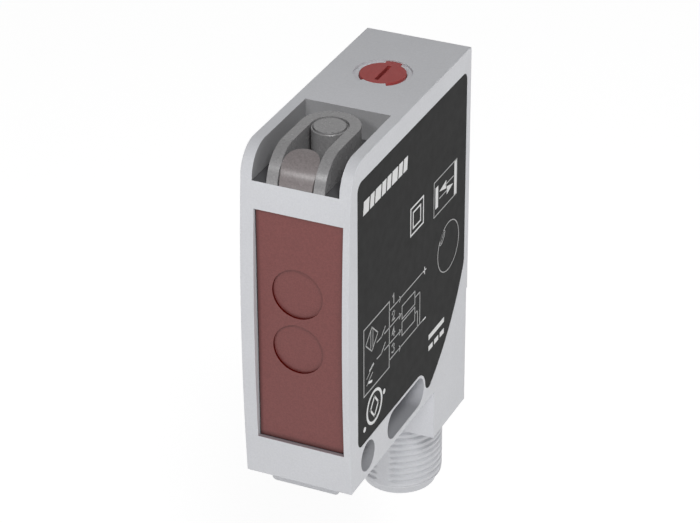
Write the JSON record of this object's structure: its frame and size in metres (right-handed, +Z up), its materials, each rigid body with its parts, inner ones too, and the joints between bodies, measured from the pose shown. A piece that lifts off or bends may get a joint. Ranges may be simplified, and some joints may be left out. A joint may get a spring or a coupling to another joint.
{
  "type": "photoelectric sensor",
  "caption": "Block-shaped photoelectric sensor with a front window, a top range adjuster, cross mounting holes and an M12 plug that points down.",
  "frame": {"origin": "on the axis of the round front mounting hole, at mid-width of the housing", "axes": "+Z up, away from the connector; -Y out of the front window; +X out of the labelled side"},
  "size_m": [0.015, 0.0396, 0.066],
  "materials": {
    "housing_metal": "fine satin light grey coating on die-cast metal",
    "black_rubber": "matte black rubber",
    "label_film": "matte dark grey film with white print",
    "red_window": "dark red filter plastic, satin",
    "black_sealant": "dark sealant",
    "black_plastic": "matte black moulded plastic",
    "clear_lens": "clear polished plastic",
    "chip_black": "black chip package",
    "circuit_board": "green solder mask",
    "gold_pin": "gold-plated brass",
    "capacitor_can": "bare aluminium can",
    "led_white": "white LED package",
    "grey_plastic": "matte mid grey plastic",
    "light_guide": "frosted translucent grey plastic",
    "rotor_white": "white plastic",
    "red_plastic": "satin red plastic",
    "flex_lead": "amber film"
  },
  "bodies": {
    "sensor_body": {"housing": "housing_metal", "rear_cover": "housing_metal", "rear_cover_seal": "black_rubber", "side_label": "label_film", "front_window": "red_window", "window_seal": "black_sealant", "lens_carrier": "black_plastic", "emitter_lens": "clear_lens", "receiver_lens": "clear_lens", "emitter_led": "chip_black", "receiver_chip": "chip_black", "optics_board": "circuit_board", "optics_link_pins": "gold_pin", "main_board": "circuit_board", "processor_chip": "chip_black", "driver_chip": "chip_black", "output_transistors": "chip_black", "capacitors": "capacitor_can", "top_board": "circuit_board", "top_link_pins": "gold_pin", "front_indicator_led": "led_white", "rear_indicator_led": "led_white", "indicator_arch": "grey_plastic", "front_light_guide": "light_guide", "rear_light_guide": "grey_plastic", "potentiometer": "black_plastic", "connector_shell": "housing_metal", "contact_insert": "black_plastic", "insert_o_ring": "black_rubber", "contact_pin_1": "gold_pin", "contact_pin_2": "gold_pin", "contact_pin_3": "gold_pin", "contact_pin_4": "gold_pin", "connector_board": "circuit_board", "connector_lead": "flex_lead"},
    "adjuster": {"adjuster_knob": "red_plastic", "potentiometer_rotor": "rotor_white", "knob_o_ring": "black_rubber"}
  },
  "joints": [
    {"name": "range_adjuster", "type": "hinge", "parent": "sensor_body", "child": "adjuster", "pos_m": [0.00004, 0.02142, 0.0442], "axis": [0, 0, 1], "range_deg": [-130, 130]}
  ]
}
